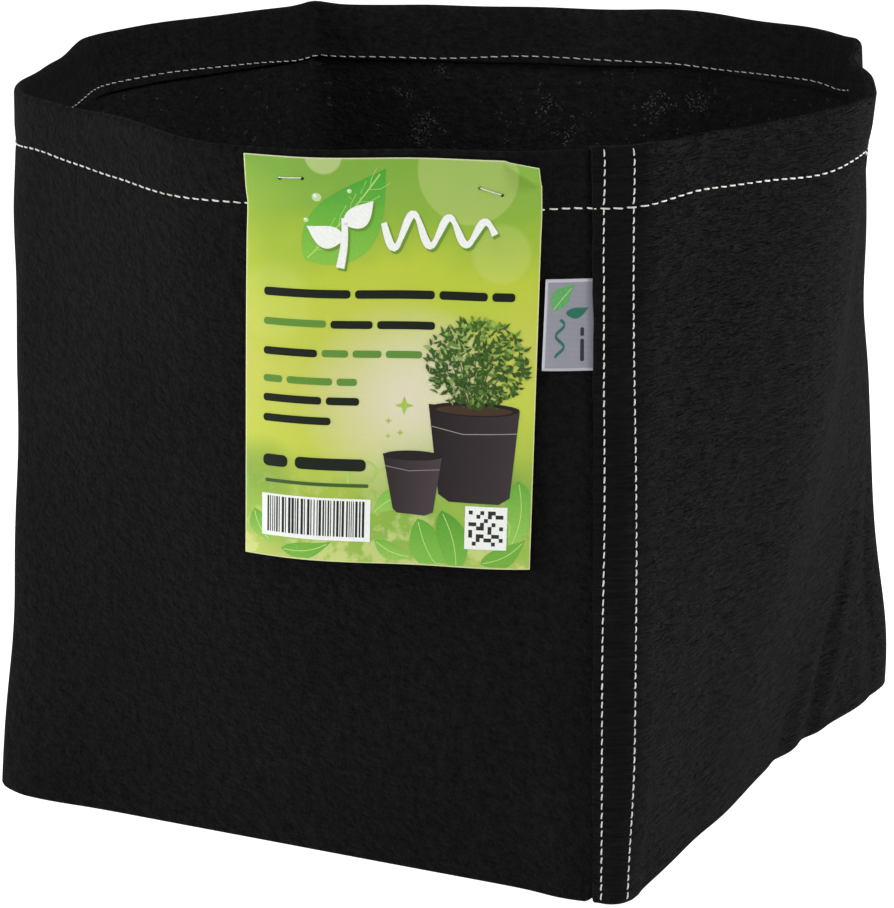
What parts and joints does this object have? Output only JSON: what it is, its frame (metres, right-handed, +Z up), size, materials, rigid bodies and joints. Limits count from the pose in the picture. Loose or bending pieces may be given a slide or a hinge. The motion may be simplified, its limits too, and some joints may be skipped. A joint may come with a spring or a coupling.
{
  "type": "fabric grow bag",
  "caption": "Soft-sided felt planter bag with a square base, soft rounded hemmed mouth, lapped corner seam, stapled hanging card and folded side label.",
  "frame": {"origin": "middle of the bag's underside, in the plane it rests on", "axes": "+Z up out of the mouth, -Y out of the wall that carries the card, +X to the right of that wall; the lap seam runs up the (+X, -Y) corner"},
  "size_m": [0.3973, 0.4101, 0.32],
  "materials": {
    "wall_felt": "matte needle-punched felt, charcoal black",
    "base_felt": "matte needle-punched felt, charcoal black",
    "sewing_thread": "white twisted polyester thread",
    "woven_label": "silver-grey woven satin tape",
    "printed_card": null,
    "staple_wire": "bright galvanised wire"
  },
  "bodies": {
    "bag": {"sidewall_panel": "wall_felt", "base_panel": "base_felt", "hem_needle_thread": "sewing_thread", "hem_bobbin_thread": "sewing_thread", "seam_left_needle_thread": "sewing_thread", "seam_left_bobbin_thread": "sewing_thread", "seam_right_needle_thread": "sewing_thread", "seam_right_bobbin_thread": "sewing_thread", "base_seam_needle_thread": "sewing_thread", "base_seam_bobbin_thread": "sewing_thread", "label_tail": "woven_label", "card_head": "printed_card", "staple_left": "staple_wire", "staple_right": "staple_wire"},
    "card_flap_body": {"card_flap": "printed_card"},
    "label_tab_body": {"label_tab": "woven_label"}
  },
  "joints": [
    {"name": "card_crease", "type": "hinge", "parent": "bag", "child": "card_flap_body", "pos_m": [0.0365, -0.19775, 0.298], "axis": [-0.9194, -0.3932, 0], "range_deg": [-1.2, 60]},
    {"name": "label_crease", "type": "hinge", "parent": "bag", "child": "label_tab_body", "pos_m": [0.13713, -0.14962, 0.2295], "axis": [-0.032, 0.0419, 0.9986], "range_deg": [0, 90], "stiffness_Nm_per_rad": 0.0005}
  ]
}
